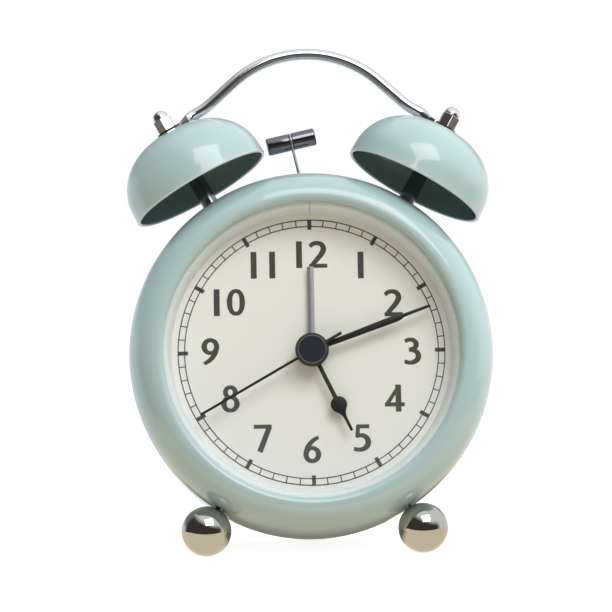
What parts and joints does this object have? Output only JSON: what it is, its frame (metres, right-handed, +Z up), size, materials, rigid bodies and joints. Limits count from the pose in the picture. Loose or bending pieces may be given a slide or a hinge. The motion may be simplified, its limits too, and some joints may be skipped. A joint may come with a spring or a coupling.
{
  "type": "alarm clock",
  "caption": "Twin-bell quartz alarm clock: round sheet-metal case leaning back on ball feet, hammer between domed bells, arched carrying handle, hands over a printed dial.",
  "frame": {"origin": "on the surface the clock stands on, at the middle of its box", "axes": "+Z up, -Y the way the dial faces, +X to the right of the dial as it is read"},
  "size_m": [0.117, 0.0667, 0.1607],
  "materials": {
    "mint_paint": "gloss duck-egg green enamel on sheet steel",
    "chrome": "bright chrome plate",
    "dark_chrome": "dark nickel plate",
    "clear_lens": "clear flat lens",
    "cream_dial": "cream printed dial card",
    "cream_plastic": "cream moulded plastic",
    "grey_plastic": "satin grey moulded plastic",
    "black_plastic": "satin black moulded plastic",
    "black_hand": "black lacquered hand",
    "silver_hand": "bright folded aluminium",
    "steel": "plain steel",
    "brass": "turned brass",
    "gear_plastic": "natural acetal",
    "copper_winding": "enamelled copper winding",
    "board": "green circuit board",
    "cell_wrap": "plain printed cell sleeve"
  },
  "bodies": {
    "clock": {"case_shell": "mint_paint", "lens": "clear_lens", "lens_ring": "cream_plastic", "dial": "cream_dial", "dial_backing": "cream_plastic", "back_cover": "cream_plastic", "battery": "cell_wrap", "battery_contacts": "steel", "movement_plate": "black_plastic", "movement_case": "black_plastic", "dial_nut": "brass", "stepper_stator": "steel", "stepper_coil": "copper_winding", "circuit_board": "board", "striker_bracket": "steel", "striker_coil": "copper_winding", "striker_core": "steel", "bell_left": "mint_paint", "bell_right": "mint_paint", "bell_post_left": "chrome", "bell_post_right": "chrome", "handle": "chrome", "acorn_nuts": "chrome", "post_nuts": "steel", "foot_left": "chrome", "foot_right": "chrome", "foot_nuts": "steel", "back_screws": "steel"},
    "time_set": {"motion_wheel": "gear_plastic", "time_set_knob": "grey_plastic"},
    "minute": {"minute_tube": "brass", "minute_hand": "black_hand"},
    "hour": {"hour_wheel": "gear_plastic", "hour_hand": "black_hand"},
    "alarm_set": {"alarm_set_shaft": "gear_plastic", "alarm_set_knob": "grey_plastic"},
    "alarm": {"alarm_wheel": "gear_plastic", "alarm_hand": "silver_hand"},
    "second": {"second_arbor": "steel", "second_hand": "black_hand", "hub_cap": "black_hand"},
    "third": {"third_wheel": "gear_plastic"},
    "centre": {"centre_wheel": "gear_plastic"},
    "hammer": {"hammer_rocker": "steel", "hammer_wire": "steel", "hammer_head": "dark_chrome"},
    "alarm_switch": {"alarm_switch": "grey_plastic"},
    "battery_door": {"battery_door": "cream_plastic"}
  },
  "joints": [
    {"name": "time_set", "type": "hinge", "parent": "clock", "child": "time_set", "pos_m": [0.013, -0.00559, 0.0616], "axis": [0, -0.9863, 0.165], "continuous": true},
    {"name": "minute", "type": "hinge", "parent": "clock", "child": "minute", "pos_m": [0, -0.00559, 0.0616], "axis": [0, -0.9863, 0.165], "continuous": true},
    {"name": "hour", "type": "hinge", "parent": "clock", "child": "hour", "pos_m": [0, -0.00559, 0.0616], "axis": [0, -0.9863, 0.165], "continuous": true},
    {"name": "alarm_set", "type": "hinge", "parent": "clock", "child": "alarm_set", "pos_m": [-0.0144, -0.00559, 0.0616], "axis": [0, -0.9863, 0.165], "continuous": true},
    {"name": "alarm", "type": "hinge", "parent": "clock", "child": "alarm", "pos_m": [0, -0.00559, 0.0616], "axis": [0, -0.9863, 0.165], "continuous": true},
    {"name": "second", "type": "hinge", "parent": "clock", "child": "second", "pos_m": [0, -0.00559, 0.0616], "axis": [0, -0.9863, 0.165], "continuous": true},
    {"name": "third", "type": "hinge", "parent": "clock", "child": "third", "pos_m": [0, -0.00369, 0.07296], "axis": [0, -0.9863, 0.165], "continuous": true},
    {"name": "centre", "type": "hinge", "parent": "clock", "child": "centre", "pos_m": [0, -0.00559, 0.0616], "axis": [0, -0.9863, 0.165], "continuous": true},
    {"name": "hammer_swing", "type": "hinge", "parent": "clock", "child": "hammer", "pos_m": [0, 0.00308, 0.10739], "axis": [0, 0.9863, -0.165], "range_deg": [0, 25.4]},
    {"name": "alarm_switch", "type": "slide", "parent": "clock", "child": "alarm_switch", "axis": [1, 0, 0], "range_m": [0, 0.005]},
    {"name": "battery_door", "type": "hinge", "parent": "clock", "child": "battery_door", "pos_m": [0, 0.01713, 0.0217], "axis": [-1, 0, 0], "range_deg": [0, 95]}
  ],
  "couplings": [
    {"joint": "minute", "follows": "time_set", "ratio": -3},
    {"joint": "hour", "follows": "time_set", "ratio": -0.25},
    {"joint": "alarm", "follows": "alarm_set", "ratio": -0.33333},
    {"joint": "third", "follows": "second", "ratio": -0.13333},
    {"joint": "centre", "follows": "second", "ratio": 0.016667}
  ]
}
